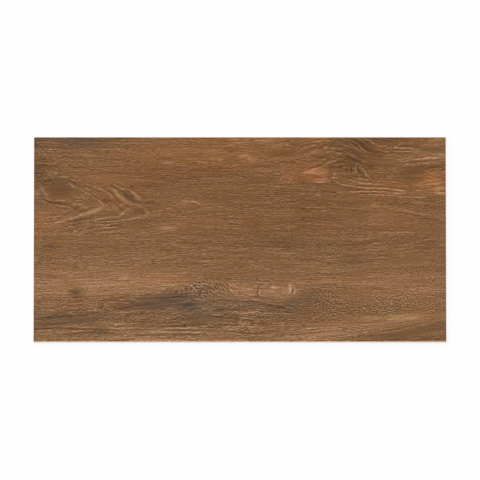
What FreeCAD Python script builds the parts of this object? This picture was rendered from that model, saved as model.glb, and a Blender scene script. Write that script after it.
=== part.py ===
# A rectified porcelain tile with a printed wood-look face, lying face up on its back.
# Frame: millimetres, +X along the tile's length, +Y across it, +Z up through the printed face.
# Origin: the middle of the back, on the plane of the rim and ribs that the tile rests on.

import FreeCAD, Part
import Sketcher
import os

# Driving dimensions, one row of the sheet each
SIZES = [
    ("tile_length", 598.0, "ground length, a 600 mm module less its joint"),
    ("tile_width", 298.0, "ground width, a 300 mm module less its joint"),
    ("tile_thickness", 9.5, "from the back's ribs to the printed face"),
    ("arris_bevel", 0.7, "45 degree bevel ground along the edges of the face"),
    ("draft_height", 2.5, "height of the pressed foot left below the ground sides"),
    ("draft_inset", 0.9, "how far that foot draws in by the time it reaches the back"),
    ("rim_width", 9.0, "plain band round the back, from the foot to the first cells"),
    ("cell_pitch", 36.0, "spacing aimed at for the keying cells"),
    ("rib_width", 5.0, "crest of the rib between two cells"),
    ("cell_depth", 0.8, "depth of a keying cell"),
    ("cell_draft", 40.0, "lean of a cell's walls, in degrees, that lets the press let go"),
]

# The cells share the back inside the rim evenly, in even rows, so two ribs cross at the origin.
HALF_LENGTH = "(Sizes.tile_length / 2 - Sizes.draft_inset - Sizes.rim_width)"
HALF_WIDTH = "(Sizes.tile_width / 2 - Sizes.draft_inset - Sizes.rim_width)"
CELLS_ALONG = f"(2 * round(({HALF_LENGTH} + Sizes.rib_width / 2) / Sizes.cell_pitch))"
CELLS_ACROSS = f"(2 * round(({HALF_WIDTH} + Sizes.rib_width / 2) / Sizes.cell_pitch))"
PITCH_ALONG = f"((2 * {HALF_LENGTH} + Sizes.rib_width) / {CELLS_ALONG})"
PITCH_ACROSS = f"((2 * {HALF_WIDTH} + Sizes.rib_width) / {CELLS_ACROSS})"

SAME_HEIGHT = 1e-6
WHOLE_COUNT = 1e-3


def add_sizes(doc):
    sheet = doc.addObject("Spreadsheet::Sheet", "Sizes")
    for row, (alias, value, note) in enumerate(SIZES, start=1):
        sheet.set(f"A{row}", alias)
        sheet.set(f"B{row}", str(value))
        sheet.setAlias(f"B{row}", alias)
        sheet.set(f"C{row}", note)
    doc.recompute()
    return sheet


def origin_feature(body, role):
    return next(feature for feature in body.Origin.OriginFeatures if feature.Role == role)


def add_rectangle(body, name, length, width):
    """A sketch on the back's plane with one rectangle: lines 0 to 3, from the -X -Y corner round."""
    sketch = body.newObject("Sketcher::SketchObject", name)
    sketch.AttachmentSupport = [(origin_feature(body, "XY_Plane"), "")]
    sketch.MapMode = "FlatFace"
    signs = ((-1, -1), (1, -1), (1, 1), (-1, 1))
    corners = [FreeCAD.Vector(x * length / 2, y * width / 2) for x, y in signs]
    for side in range(4):
        following = (side + 1) % 4
        sketch.addGeometry(Part.LineSegment(corners[side], corners[following]))
    for side in range(4):
        following = (side + 1) % 4
        sketch.addConstraint(Sketcher.Constraint("Coincident", side, 2, following, 1))
        sketch.addConstraint(Sketcher.Constraint("Vertical" if side % 2 else "Horizontal", side))
    add_size(sketch, "along", "DistanceX", 0, 1, 0, 2, length)
    add_size(sketch, "across", "DistanceY", 1, 1, 1, 2, width)
    return sketch


def add_size(sketch, name, *constraint):
    sketch.renameConstraint(sketch.addConstraint(Sketcher.Constraint(*constraint)), name)


def press_slab(body, sheet):
    """The slab: upright sides above, and a foot below that still leans in as it left the press."""
    outline = add_rectangle(body, "Outline", sheet.tile_length, sheet.tile_width)
    outline.addConstraint(Sketcher.Constraint("Symmetric", 0, 1, 2, 1, -1, 1))
    outline.setExpression("Constraints.along", "Sizes.tile_length")
    outline.setExpression("Constraints.across", "Sizes.tile_width")
    outline.setExpression("AttachmentOffset.Base.z", "Sizes.draft_height")
    slab = body.newObject("PartDesign::Pad", "Slab")
    slab.Profile = outline
    slab.SideType = "Two sides"
    slab.setExpression("Length", "Sizes.tile_thickness - Sizes.draft_height")
    slab.setExpression("Length2", "Sizes.draft_height")
    slab.setExpression("TaperAngle2", "-atan(Sizes.draft_inset / Sizes.draft_height)")
    body.Document.recompute()
    return slab


def grind_arris(body, slab, sheet):
    """The small bevel that grinding leaves along the four edges of the printed face."""
    edges = []
    for number, edge in enumerate(slab.Shape.Edges, start=1):
        if all(abs(end.Z - sheet.tile_thickness) < SAME_HEIGHT for end in edge.Vertexes):
            edges.append(f"Edge{number}")
    arris = body.newObject("PartDesign::Chamfer", "Arris")
    arris.Base = (slab, edges)
    arris.setExpression("Size", "Sizes.arris_bevel")
    body.Document.recompute()
    return arris


def press_cell(body, sheet):
    """One keying cell, in the -X -Y corner of the back: a shallow pan with leaning walls."""
    mouth = add_rectangle(body, "CellMouth", sheet.cell_pitch, sheet.cell_pitch)
    add_size(mouth, "inset_along", "DistanceX", 0, 1, -1, 1, sheet.cell_pitch)
    add_size(mouth, "inset_across", "DistanceY", 0, 1, -1, 1, sheet.cell_pitch)
    mouth.setExpression("Constraints.along", f"{PITCH_ALONG} - Sizes.rib_width")
    mouth.setExpression("Constraints.across", f"{PITCH_ACROSS} - Sizes.rib_width")
    mouth.setExpression("Constraints.inset_along", HALF_LENGTH)
    mouth.setExpression("Constraints.inset_across", HALF_WIDTH)
    cell = body.newObject("PartDesign::Pocket", "Cell")
    cell.Profile = mouth
    cell.Reversed = True
    cell.setExpression("Length", "Sizes.cell_depth")
    cell.setExpression("TaperAngle", "-Sizes.cell_draft")
    body.Document.recompute()
    return cell


def repeat_cell(body, cell):
    """The waffle of cells over the whole back."""
    waffle = body.newObject("PartDesign::LinearPattern", "Waffle")
    waffle.Originals = [cell]
    waffle.Direction = (origin_feature(body, "X_Axis"), [""])
    waffle.Mode = "Extent"
    waffle.setExpression("Length", f"{PITCH_ALONG} * ({CELLS_ALONG} - 1)")
    waffle.setExpression("Occurrences", CELLS_ALONG)
    waffle.Direction2 = (origin_feature(body, "Y_Axis"), [""])
    waffle.Mode2 = "Extent"
    waffle.setExpression("Length2", f"{PITCH_ACROSS} * ({CELLS_ACROSS} - 1)")
    waffle.setExpression("Occurrences2", CELLS_ACROSS)
    body.Tip = waffle
    body.Document.recompute()
    return waffle


def check_tile(body, arris, cell, waffle):
    """Stop unless every step worked and every cell of the waffle was cut at its full volume."""
    for item in body.Document.Objects:
        if "Invalid" in item.State or "Error" in item.State:
            raise RuntimeError(f"{item.Label} did not build: {item.State}")
    if body.Shape.isNull() or not body.Shape.isValid() or len(body.Shape.Solids) != 1:
        raise RuntimeError(f"{body.Label} is not one sound solid")
    one_cell = arris.Shape.Volume - cell.Shape.Volume
    if one_cell <= 0:
        raise RuntimeError("the keying cell cut nothing")
    cells_cut = (arris.Shape.Volume - waffle.Shape.Volume) / one_cell
    if abs(cells_cut - waffle.Occurrences * waffle.Occurrences2) > WHOLE_COUNT:
        raise RuntimeError(f"the waffle has {cells_cut:.2f} cells")


def main():
    doc = FreeCAD.newDocument("PorcelainTile")
    sheet = add_sizes(doc)
    tile = doc.addObject("PartDesign::Body", "Tile")
    tile.Label = "porcelain_tile"
    slab = press_slab(tile, sheet)
    arris = grind_arris(tile, slab, sheet)
    cell = press_cell(tile, sheet)
    waffle = repeat_cell(tile, cell)
    check_tile(tile, arris, cell, waffle)
    os.makedirs("parts", exist_ok=True)
    tile.Shape.exportStep(f"parts/{tile.Label}.step")
    box = tile.Shape.BoundBox
    print(f"{tile.Label}: {box.XLength:.2f} x {box.YLength:.2f} x {box.ZLength:.2f} mm,", end=" ")
    print(f"{waffle.Occurrences} x {waffle.Occurrences2} cells, {tile.Shape.Volume / 1000:.1f} cm3")


main()
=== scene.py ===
import math

import bmesh
import bpy
import numpy as np
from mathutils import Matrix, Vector


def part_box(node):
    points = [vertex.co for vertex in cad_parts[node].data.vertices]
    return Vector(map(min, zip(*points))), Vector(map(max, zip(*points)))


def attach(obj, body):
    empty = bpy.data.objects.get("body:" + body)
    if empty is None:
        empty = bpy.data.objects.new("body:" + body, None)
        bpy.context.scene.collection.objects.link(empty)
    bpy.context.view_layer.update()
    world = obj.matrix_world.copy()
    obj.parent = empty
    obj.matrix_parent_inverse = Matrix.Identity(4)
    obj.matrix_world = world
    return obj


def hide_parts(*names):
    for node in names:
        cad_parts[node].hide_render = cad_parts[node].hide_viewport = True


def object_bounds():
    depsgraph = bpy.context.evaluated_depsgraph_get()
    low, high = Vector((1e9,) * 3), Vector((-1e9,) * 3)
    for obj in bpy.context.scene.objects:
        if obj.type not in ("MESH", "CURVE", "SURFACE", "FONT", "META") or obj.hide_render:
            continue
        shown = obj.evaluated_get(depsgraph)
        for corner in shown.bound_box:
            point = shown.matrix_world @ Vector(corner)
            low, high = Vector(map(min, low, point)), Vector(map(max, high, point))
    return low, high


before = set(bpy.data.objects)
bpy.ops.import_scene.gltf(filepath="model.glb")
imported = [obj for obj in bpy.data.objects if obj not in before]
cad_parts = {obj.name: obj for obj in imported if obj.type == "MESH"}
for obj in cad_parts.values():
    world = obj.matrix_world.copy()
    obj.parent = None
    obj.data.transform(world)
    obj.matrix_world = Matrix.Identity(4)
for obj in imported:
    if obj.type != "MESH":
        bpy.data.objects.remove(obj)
cadLow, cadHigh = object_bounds()
mm = 0.001
near = 0.01 * mm    # two places closer than this count as one
level = 0.9         # a face is level where the upright part of its normal is past this
leaning = 0.3       # and leans upwards, as the arris does, where it is past this


def hexToLinear(hexColour):
    levels = [int(hexColour[place:place + 2], 16) / 255 for place in (1, 3, 5)]
    linear = [v / 12.92 if v <= 0.04045 else ((v + 0.055) / 1.055) ** 2.4 for v in levels]
    return (*linear, 1.0)


def addNode(tree, kind, *values, inputs=None, **settings):
    # values fill the live inputs in order, inputs fill others by name: plain values, or sockets to link;
    # a kind without its family is a shader node, and the first live output comes back
    node = tree.nodes.new(kind if "Node" in kind else "ShaderNode" + kind)
    for name, value in settings.items():
        setattr(node, name, value)
    live = [socket for socket in node.inputs if socket.enabled]
    named = [(node.inputs[name], value) for name, value in (inputs or {}).items()]
    for socket, value in (*zip(live, values), *named):
        if isinstance(value, bpy.types.NodeSocket):
            tree.links.new(value, socket)
        else:
            socket.default_value = value
    return next((socket for socket in node.outputs if socket.enabled), node)


def newMaterial(name):
    # an empty material and its node tree
    material = bpy.data.materials.new(name)
    material.use_nodes = True
    material.node_tree.nodes.clear()
    return material, material.node_tree


def addPlaceInMm(tree):
    place = addNode(tree, "TexCoord").node.outputs["Object"]
    return addNode(tree, "VectorMath", place, inputs={"Scale": 1 / mm}, operation="SCALE")


def fillRamp(colour, stops):
    # stops are the places along the ramp and their colours, in order
    elements = colour.node.color_ramp.elements
    for number, (place, hexColour) in enumerate(stops):
        element = elements[number] if number < 2 else elements.new(place)    # a new ramp has two
        element.position = place
        element.color = hexToLinear(hexColour)


def selectFaces(piece, wanted):
    # in edit mode, selects the faces whose middle and normal pass the test
    mesh = bmesh.from_edit_mesh(piece.data)
    for face in mesh.faces:
        face.select_set(False)
    for face in mesh.faces:
        if wanted(face.calc_center_median(), face.normal):
            face.select_set(True)
    mesh.select_flush(True)
    bmesh.update_edit_mesh(piece.data)


def selectEdges(piece, wanted):
    # in edit mode, selects the edges whose two ends pass the test
    mesh = bmesh.from_edit_mesh(piece.data)
    for edge in mesh.edges:
        edge.select_set(False)
    for edge in mesh.edges:
        if wanted(edge.verts[0].co, edge.verts[1].co):
            edge.select_set(True)
    bmesh.update_edit_mesh(piece.data)


# The slab, modelled by hand over the CAD solid
slab = {
    "footHeight": 2.5 * mm,      # pressed foot left below the ground sides
    "footInset": 0.9 * mm,       # how far the foot draws in by the time it reaches the back
    "arris": 0.7 * mm,           # bevel ground along the edges of the face
    "rim": 9.0 * mm,             # plain band round the back
    "rib": 5.0 * mm,             # crest between two keying cells
    "cellsAlong": 16,
    "cellsAcross": 8,
    "cellDepth": 0.8 * mm,
    "cellDraft": 40,             # degrees that the cell walls lean
    "cellCorner": 2.5 * mm,      # rounding of the cell corners
    "cornerSteps": 2,
    "stripsAlong": 70,           # strips of the face, each cut again in plainCut or bentCut
    "plainCut": 2,
    "bentCut": 6,
    "bentFigure": [(-292 * mm, -122 * mm), (88 * mm, 202 * mm)],    # where the figure bends, along x
    "stripsAcross": (66, 5),     # strips, each cut again in five
    "smoothAngle": 30,           # degrees, the sharpest bend that is shaded smooth
}


def buildSlab():
    low, high = [Vector(corner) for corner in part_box("porcelain_tile")]
    size = high - low
    bpy.ops.object.select_all(action="DESELECT")
    bpy.ops.mesh.primitive_cube_add(size=1, location=(low + high) / 2, scale=size)
    tile = bpy.context.object
    tile.name = "woodLookTile"
    bpy.ops.object.transform_apply(location=True, rotation=True, scale=True)
    bpy.ops.object.mode_set(mode="EDIT")

    def onBack(middle, normal):
        return normal.z < -level

    # Foot: a cut round the sides, then the back drawn in
    bpy.ops.mesh.select_mode(type="FACE")
    bpy.ops.mesh.select_all(action="SELECT")
    footTop = low.z + slab["footHeight"]
    bpy.ops.mesh.bisect(plane_co=(0, 0, footTop), plane_no=(0, 0, 1))
    selectFaces(tile, onBack)
    drawIn = [1 - 2 * slab["footInset"] / size.x, 1 - 2 * slab["footInset"] / size.y, 1]
    bpy.ops.transform.resize(value=drawIn, center_override=(0, 0, low.z))

    # Arris along the four edges of the face
    bpy.ops.mesh.select_mode(type="EDGE")
    selectEdges(tile, lambda a, b: min(a.z, b.z) > high.z - near)
    bpy.ops.mesh.bevel(offset=slab["arris"], offset_type="OFFSET", segments=1, affect="EDGES")

    # Back: the rim, a lattice of ribs, then cells pressed in with leaning walls
    bpy.ops.mesh.select_mode(type="FACE")
    selectFaces(tile, onBack)
    bpy.ops.mesh.inset(thickness=slab["rim"] - slab["rib"] / 2)
    halfAlong = size.x / 2 - slab["footInset"] - slab["rim"] + slab["rib"] / 2
    halfAcross = size.y / 2 - slab["footInset"] - slab["rim"] + slab["rib"] / 2

    def inLattice(middle, normal):
        inside = abs(middle.x) < halfAlong - near and abs(middle.y) < halfAcross - near
        return inside and onBack(middle, normal)

    for axis, half, cells in ((0, halfAlong, slab["cellsAlong"]), (1, halfAcross, slab["cellsAcross"])):
        facing = [0, 0, 0]
        facing[axis] = 1
        for cut in range(1, cells):
            place = [0, 0, 0]
            place[axis] = -half + 2 * half * cut / cells
            selectFaces(tile, inLattice)
            bpy.ops.mesh.bisect(plane_co=place, plane_no=facing)
    selectFaces(tile, inLattice)
    bpy.ops.mesh.inset(thickness=slab["rib"] / 2, use_individual=True)
    wallRun = slab["cellDepth"] * math.tan(math.radians(slab["cellDraft"]))
    bpy.ops.mesh.inset(thickness=wallRun, depth=-slab["cellDepth"], use_individual=True)

    # Rounded corners where two cell walls meet
    bpy.ops.mesh.select_mode(type="EDGE")
    cellFloor = low.z + slab["cellDepth"]
    selectEdges(tile, lambda a, b: abs(abs(a.z - b.z) - slab["cellDepth"]) < near
                and max(a.z, b.z) < cellFloor + near)
    bpy.ops.mesh.bevel(offset=slab["cellCorner"], segments=slab["cornerSteps"], affect="EDGES")

    # The face and the upright sides in fine strips, for the paint and the relief
    def cutStrips(axis, count, wanted=lambda place: True):
        selectEdges(tile, lambda a, b: abs(a[axis] - b[axis]) > near
                    and abs(a[1 - axis] - b[1 - axis]) < near and abs(a.z - b.z) < near
                    and a.z > footTop - near and wanted((a[axis] + b[axis]) / 2))
        bpy.ops.mesh.subdivide(number_cuts=count - 1)

    def isBent(x):
        return any(start < x < end for start, end in slab["bentFigure"])

    cutStrips(0, slab["stripsAlong"])
    cutStrips(0, slab["plainCut"], lambda x: not isBent(x))
    cutStrips(0, slab["bentCut"], isBent)
    for count in slab["stripsAcross"]:
        cutStrips(1, count)
    bpy.ops.mesh.select_all(action="SELECT")
    bpy.ops.mesh.normals_make_consistent(inside=False)
    bpy.ops.object.mode_set(mode="OBJECT")
    return tile


tile = buildSlab()
print("slab modelled:", len(tile.data.vertices), "points,", len(tile.data.polygons), "faces")

# The wood figure, placed on the face: millimetres from the middle, x along the grain.
# Tones, warmths and blushes are in steps of 255.
figure = {
    # slow waves of the grain lines: height, length along, length across, start
    "waves": [(1.4, 63, 41, 0), (0.8, 29, -23, 1.7)],
    # lifts of the grain lines: x, y, half length, half height, rise
    "lifts": [
        (-75, -100, 150, 36, 16), (330, -150, 170, 55, 38), (330, 35, 90, 25, -14), (330, 114, 90, 24, 8),
        (-20, 100, 120, 40, -4), (40, 10, 150, 40, 3), (118, 146, 70, 26, 12), (206, 119, 36, 20, -9),
        (240, 70, 90, 32, -10),
    ],
    # the knot parts the lines round it
    "knot": {"middle": (157, 102), "spread": 36, "tilt": -6, "reach": 120, "parting": 0.5},
    # the cathedral: nested points that run out to the right, with steep upper arms;
    # its border is the gain and the lift that keep the middle of its area whole
    "cathedral": {"axis": (-198, 46), "fall": 0.08, "upper": 0.5, "lower": 0.25, "round": 6,
                  "crowding": 0.3, "area": (-190, 66, 44, 25, 0), "border": (1.7, -0.2)},
    "swayAlong": (0.5, 1.9, 5.3),          # the hand sways along: how far, length across, length along
    "swayAcross": (0.3, 2.6, 1.3, 3.1),    # and across: how far, length, twist, length of the twist
    "beads": (0.16, 1.7, 1.5, 2.2),        # strokes swell and thin, in the same order
    "strokeTip": 0.08,                     # a stroke thins in a half sine, cut off this far from its ends
    "strokeRim": 0.3,                      # tone of the rim beside a stroke, as a share of its own
    "strokeRimWidth": 5,                   # how many times wider the rim is, squared
    "faceDepth": 0.05,                     # mm below the top that still count as the face
    # broad shades: x, y, half length, half height, tilt, tone, warmth
    "shades": {
        "cornerShade": (-262, 147, 85, 9, 0, -23, -5),
        "cornerInk": (-244, 149, 15, 3, 0, -26, -10),
        "upperLeft": (-215, 138, 50, 14, 0, -4, -6),
        "upperRight": (210, 112, 110, 45, 0, -4, 1),
        "leftEdgeShade": (-299, 107, 20, 38, 0, -13, -1.5),
        "leftEdgeSmudge": (-291, 98, 12, 7, 0, -13, -1.5),
        "eyeOfFigure": (-262, 80, 26, 18, -8, -4, -2),
        "leftPatch": (-286, 67, 7, 9, 18, 8, -2),
        "leftEdgePatch": (-295, 66, 4, 4.5, 0, 17, 5),
        "burl": (-209, 128, 6, 5, 0, -8, -2),
        "burlGlow": (-224, 125, 14, 6, 0, 9, 3),
        "figureGlow": (-192, 88, 40, 11, -4, 9, 5),
        "figureFoot": (-285, 24, 34, 18, 10, 6, 7),
        "figureGrey": (-195, 28, 45, 9, 8, 2, -3),
        "figureWarm": (-195, 60, 40, 14, 0, 0, 2.5),
        "behindApex": (-136, 54, 36, 11, -8, -9, 0),
        "belowApexWarm": (-95, 30, 50, 20, 0, 0, 2),
        "rightOfFigure": (-122, 77, 26, 9, 0, -7, 0),
        "fleckByApex": (-78, 55, 15, 4, 4, 13, 4),
        "fleckBelow": (-104, 16, 17, 5, 6, 11, 6),
        "purpleSpot": (-273, -9, 9, 3, 0, -16, -8),
        "upperGlow": (-60, 126, 130, 26, 0, 2, 8),
        "upperPlain": (-90, 92, 140, 22, 0, -9, 0),
        "middlePlain": (70, 42, 150, 40, 0, -7, 1),
        "middleDark": (62, -2, 60, 12, 2, -9, -3),
        "topFleck": (-8, 143, 12, 4, 0, 13, 6),
        "topLine": (38, 145, 22, 4, 0, 10, 5),
        "upperDark": (76, 132, 24, 9, 0, -5, 0),
        "ringGlow": (66, 89, 10, 6, 0, 7, 4),
        "wedgeField": (92, 100, 34, 13, 0, 3, 7),
        "wedgeGlow": (114, 93, 17, 11, 8, 8, 8),
        "topEdgeGlow": (117, 149, 11, 3, 0, 22, 8),
        "knotShade": (164, 128, 33, 17, -18, -20, -4),
        "knotBody": (156, 102, 26, 14, 0, -11, -3),
        "topRightShade": (206, 144, 50, 9, 0, -14, -3),
        "topRightWarm": (280, 141, 22, 6, 0, 3, 5),
        "linesWarm": (205, 74, 36, 12, 0, 0, 5),
        "rightDusk": (246, 93, 22, 8, 6, -11, -1),
        "rightStreak": (277, 119, 26, 4.5, 6, 14, 5),
        "rightGlow": (280, 86, 16, 13, 0, 14, 11),
        "rightGlowLow": (290, 71, 11, 7, 0, 14, 8),
        "rightWarm": (245, 76, 45, 12, 0, 0, 3),
        "rightLowWarm": (235, 16, 40, 12, 0, 0, 2.5),
        "rightMidDark": (250, 52, 50, 5, -6, -8, -1),
        "rightMidGlow": (212, 36, 30, 14, 0, 4, 5),
        "rightMidPale": (256, 55, 9, 4, 0, 11, 1),
        "rightSmudge": (163, -31, 22, 8, 0, -9, -4),
        "middleRight": (118, -14, 40, 10, 0, -4, -3),
        "rightFarDark": (262, -2, 40, 9, 0, -5, -2),
        "leftBand": (-215, -65, 135, 20, 0, 21, 5.5),
        "leftBandTop": (-230, -34, 110, 12, 0, 5, 0),
        "bandGlow": (-112, -58, 40, 8, 0, 14, 7),
        "amberSpot": (-168, -56, 7, 3, 0, 14, 5),
        "stainCool": (-50, -98, 110, 26, 3, -5, -6),
        "stainMain": (-122, -90, 46, 10, 6, -20, -6.5),
        "stainHead": (-95, -82, 26, 7, 4, -13, -3.5),
        "stainCore": (-70, -97, 17, 6, 0, -31, -5),
        "stainUnder": (-122, -128, 34, 9, 0, 9, 0),
        "greyAbove": (-14, -87, 26, 5, 0, 9, 3),
        "chatterGround": (-50, -72, 34, 12, 6, -10, -4),
        "stainTail": (-52, -116, 40, 9, -4, -13, -4),
        "stainLeft": (-262, -117, 75, 10, 4, -13, -8),
        "stainSpot": (-237, -78.5, 10.5, 8, -20, -29, -10),
        "greyMiddle": (-25, -97, 40, 8, 0, -2, -1),
        "greyTail": (52, -106, 40, 11, -6, -7, -3),
        "greyTailEnd": (75, -97, 14, 7, 0, -8, -4),
        "crackPale": (30, -75, 56, 10, -3, 15, 5),
        "crackPaleLeft": (-3, -72, 18, 8, -10, 8, 6),
        "crackPaleRight": (72, -73, 14, 8, 0, 11, 2),
        "paleBelow": (15, -106, 17, 4, 0, 13, 8),
        "speckleDark": (102, -88, 28, 14, 0, -11, -6),
        "speckleDusk": (190, -99, 45, 9, 0, -4, -3),
        "rightBand": (245, -68, 95, 24, 0, 13, 3),
        "amberLine": (122, -62, 42, 2, 0, 5, 15),
        "sweepGlow": (205, -119, 95, 9, 6, 17, 4),
        "sweepBright": (240, -113, 32, 4, 2, 13, 8),
        "sweepFoot": (112, -138, 36, 7, 8, 14, 4),
        "cornerDusk": (240, -138, 48, 9, 10, -14, -4),
        "cornerFar": (287, -125, 14, 6, 10, -10, -5),
        "bottomGlow": (-115, -147, 150, 6, 0, 17, 3),
        "bottomPink": (-118, -144, 22, 4, 0, 9, 2),
        "bottomRoot": (-203, -134, 9, 8, 0, -15, -7),
        "bottomBand": (-95, -134, 130, 10, 0, 12, -2),
    },
    # small marks with a clear edge, in the same order as the shades
    "patches": {
        "greySpot": (-162, 64.5, 10, 4.9, -38, -17, -7),
        "eyeBody": (-262, 75, 22, 12.5, -10, -13, -2),
        "eyePurple": (-264, 71, 17, 7, -6, -3, 1),
        "oliveApex": (-147, 41, 9, 4, 0, -12, -3),
        "oliveArm": (-192, 56.5, 7.5, 3.6, 0, -10, -2),
        "purpleTail": (-134, 52.5, 13, 3.6, -10, 1, 0),
        "brownCap": (-157, 76.5, 7, 3.5, -5, -15, 5),
        "brownCapTail": (-145, 67, 6, 4, -30, -3, 6),
        "redDark": (-184, 38, 7, 3.2, 0, -7, 1),
        "leftPurple": (-287.3, 65.5, 3.2, 5.5, 14, -11, -3),
        "leftOrange": (-294.5, 65.5, 3.2, 4, 0, 4, 5),
        "footPeach": (-285, 38.5, 7, 2.6, 0, 13, 2),
        "armWide": (-211, 40.5, 14, 3.0, 20, 20, 4),
        "secondArmBand": (-171, 59.5, 9, 3, -42, 4, 3),
        "outerArmBand": (-151, 64.5, 8, 2.6, -42, 9, 3),
        "oliveFleck": (-119, 28, 8, 4, 0, 0, -4),
        "darkUnderArm": (-235, 26.5, 7, 2.4, 10, -10, 0),
        "oliveDash": (-238, 46, 6, 2.5, -5, -8, -3),
        "paleApex": (-172, 38, 5, 3, 30, 12, -2),
        "wedgeTip": (101, 98.6, 9, 2.4, 9, 42, 8),
        "wedgeMiddle": (111, 99.6, 8, 4.2, 12, 16, 4),
        "wedgeBody": (121, 99.5, 7, 6.2, 18, 9, 3),
        "wedgeFoot": (118, 85.8, 11, 3.4, 0, 20, 4),
        "wedgeNotch": (112, 91.0, 7, 1.5, -3, -11, 0),
        "wedgeShade": (131.5, 98, 4, 9, 0, -11, -1),
        "pinkLeft": (110, 129, 8, 3, 8, 8, 7),
        "purpleLeft": (121, 119, 11, 2.8, -3, -18, 0),
        "topOrange": (117, 146, 12, 4, 0, 6, 5),
        "knotPink": (181, 113.5, 6, 3, 10, 8, 4),
        "rightPink": (215, 122, 8, 2.8, 0, 12, 4),
        "knotDark": (192, 107, 10, 5, 0, -9, -1),
        "rightOrange": (279, 88, 12, 10, 0, 2, 5),
        "swirlPink": (78, 93, 4, 6, 0, 4, 5),
        "crackPink": (49, -72, 7, 6, 0, 7, 2),
        "crackPinkRight": (74.5, -73, 9, 8, 0, 11, 1.5),
        "amberSmudge": (195, 50, 6, 3.5, 0, 8, 9),
        "pinkSpot": (190, 31, 5, 3, 0, 6, 4),
        "leftDusk": (-262, -13, 5, 2, 0, 6, 3),
        "paleTop": (90, 144, 5, 2, 0, 10, -2),
        "amberFleck": (51, 137, 13, 2.8, 0, 13, 7),
        "peachGlow": (11, 119, 14, 7, -12, 7, 4),
        "peachFleck": (7, 122, 9, 2, -4, 14, 4),
        "peachFleckLow": (17, 117, 8, 1.8, 0, 12, 3),
        "darkBar": (-10, 132, 12, 3.6, 0, -12, -3),
        "darkFleck": (60, 124, 22, 4.5, -3, -12, -2),
        "rightBar": (281, 131, 18, 3, 0, -15, -5),
        "amberLeft": (-166, -55.5, 4.5, 2.2, 0, 20, 4),
        "amberByStain": (-99, -66, 7, 2, 0, 4, 5),
        "amberByCrack": (-9, -66, 7, 3, -6, 2, 4),
        "rightBarLow": (272, 105, 24, 3, 3, -11, -2),
    },
    # where the grain changes its look: x, y, half length, half height, tilt, strength
    "speckled": [
        (190, -98, 90, 18, 2, 1.0), (270, -62, 60, 34, 0, 0.8), (118, -90, 42, 24, 0, 0.6),
        (155, 103, 20, 12, 0, 0.8), (-212, 128, 16, 8, 0, 0.8), (-203, -127, 10, 7, 0, 0.8),
    ],
    "chattered": [
        (-54, -73, 34, 13.5, 6, 2.1), (4, -73, 28, 9, -8, 0.4),
    ],
    "lined": [
        (262, 118, 40, 9, 8, 0.5), (-60, -131, 130, 10, 0, 0.8), (-280, 128, 45, 14, 0, 0.6),
        (-270, -125, 60, 12, 0, 0.6), (-165, -111, 70, 13, 0, 0.6),
    ],
    "vivid": [
        (-215, 25, 70, 10, 0, 0.5), (0, -102, 340, 46, 0, 0.9), (-290, 110, 60, 45, 0, 0.2),
        (-205, 60, 60, 24, 0, -0.2), (-186, 66, 30, 16, -30, -0.45), (-260, 76, 24, 14, 0, -1.0),
        (281, 131, 18, 5, 0, -0.9), (119, 98, 12, 8, 0, -0.9), (66, 125, 24, 7, 0, -0.7),
        (-52, -116, 34, 8, 0, -1.6), (240, -136, 46, 9, 10, -1.2), (150, -95, 60, 14, 0, -0.35),
        (105, -86, 26, 16, 0, 0.4), (-215, -28, 110, 14, 0, 0.25), (205, 112, 22, 8, 0, -0.6),
        (-122, -93, 38, 10, 5, -1.1), (172, 134, 36, 16, -20, -0.7), (248, 95, 22, 10, 0, -0.7),
        (200, 76, 50, 14, 0, -0.5), (155, 102, 20, 12, 0, -0.3), (110, 128, 26, 14, 0, -0.6),
        (-262, -118, 55, 12, 3, -0.6), (-165, -111, 70, 13, 0, -0.45), (-50, -133, 110, 9, 0, -0.6),
        (-180, 25, 40, 14, 8, -0.4),
    ],
    # rose ink, or olive below zero, which turns a pale ground amber: the same, with steps last
    "blush": [
        (-40, 128, 130, 20, 0, -1.2), (225, -113, 60, 6, 2, -5), (-99, -66, 12, 4, 0, -6),
        (-9, -66, 12, 5, -6, -4), (-166, -56, 12, 4, 0, -5), (-190, -68, 60, 12, 0, -2),
        (122, -62, 44, 3, 0, -3), (-42, 130, 8, 4, 0, -3), (205, 76, 40, 14, 0, -1.5),
        (280, 141, 22, 6, 0, -0.5), (277, 119, 28, 6, 6, -1.5), (195, 50, 6, 3.5, 0, -9),
        (284, 76, 16, 10, 0, -3),
    ],
    # where the sums of those are cut off
    "limits": {"speckled": (0, 1), "chattered": (0, 1), "lined": (0, 1), "vivid": (-0.8, 1.2),
               "blush": (-50, 50)},
    # small upright splits and chips: x, y, half width, half height, tone
    # border: from faint to full, in half widths from the middle
    "splits": {"border": (1.4, 0.3), "marks": [
        (26.4, -69, 0.8, 4, -42), (25.4, -76, 0.9, 4.5, -50), (26.8, -80.5, 0.7, 2, -26),
        (28, -77.5, 1.0, 2.6, 54), (24, -68, 0.7, 3, 18), (27, -63, 0.6, 2.5, 14),
        (76.2, -74, 0.9, 3.5, -52), (75.2, -78.5, 0.9, 2.2, -46), (72.5, -69, 2.2, 6.5, 38),
        (73.8, -74, 1.2, 3.5, 36), (79.5, -76, 1.8, 3.2, 30), (70, -70, 0.8, 2.5, -20),
        (49, -69.5, 2.6, 2.2, 26),
    ]},
    # the small curl left of the knot, ring in ring, in the same order; border from the ring's line
    "curl": {"border": (0.32, 0.05), "marks": [
        (66.5, 88, 6.8, 5.0, 14), (67, 88.2, 4.6, 3.3, -9), (68, 88.6, 2.6, 1.9, 13),
    ]},
}

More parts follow.
